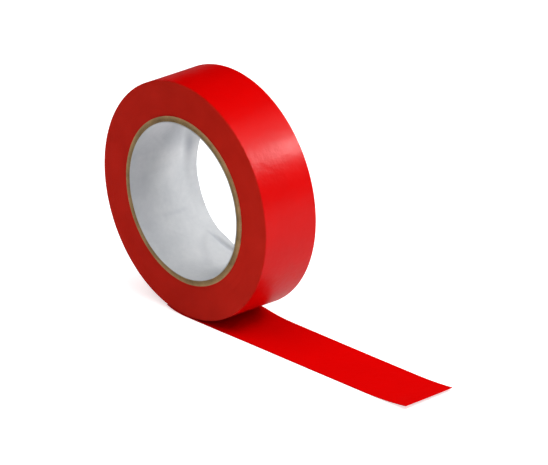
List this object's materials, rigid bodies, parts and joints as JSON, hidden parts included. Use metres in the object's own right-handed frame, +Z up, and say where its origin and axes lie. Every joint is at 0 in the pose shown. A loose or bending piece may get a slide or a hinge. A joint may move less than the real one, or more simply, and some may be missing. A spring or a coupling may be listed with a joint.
{
  "type": "electrical tape roll",
  "caption": "Roll of red PVC insulating tape on a lined board core, standing on its rim with a loose end peeled off and run out flat; the roll turns as the end unwinds.",
  "frame": {"origin": "on the roll's axis, at the middle of the tape's width and inside the core's bore", "axes": "+Y along the bore's axis towards the back of the roll, +X the way the loose end runs along the floor, +Z up"},
  "size_m": [0.1062, 0.0192, 0.0584],
  "materials": {
    "liner_paper": "uncoated white lining paper, slightly creased",
    "inner_board": "raw grey-brown tube board",
    "outer_board": "raw kraft tube board",
    "tape_film": "satin calendered PVC film",
    "tape_adhesive": "clear pressure-sensitive coat over the red film"
  },
  "bodies": {
    "loose_end": {"tail_film": "tape_film", "tail_adhesive": "tape_adhesive"},
    "roll": {"core_liner": "liner_paper", "core_inner_ply": "inner_board", "core_second_ply": "inner_board", "core_third_ply": "outer_board", "core_outer_ply": "outer_board", "wound_tape": "tape_film"}
  },
  "joints": [
    {"name": "unwind", "type": "hinge", "parent": "loose_end", "child": "roll", "pos_m": [0, 0, 0], "axis": [0, -1, 0], "continuous": true}
  ]
}
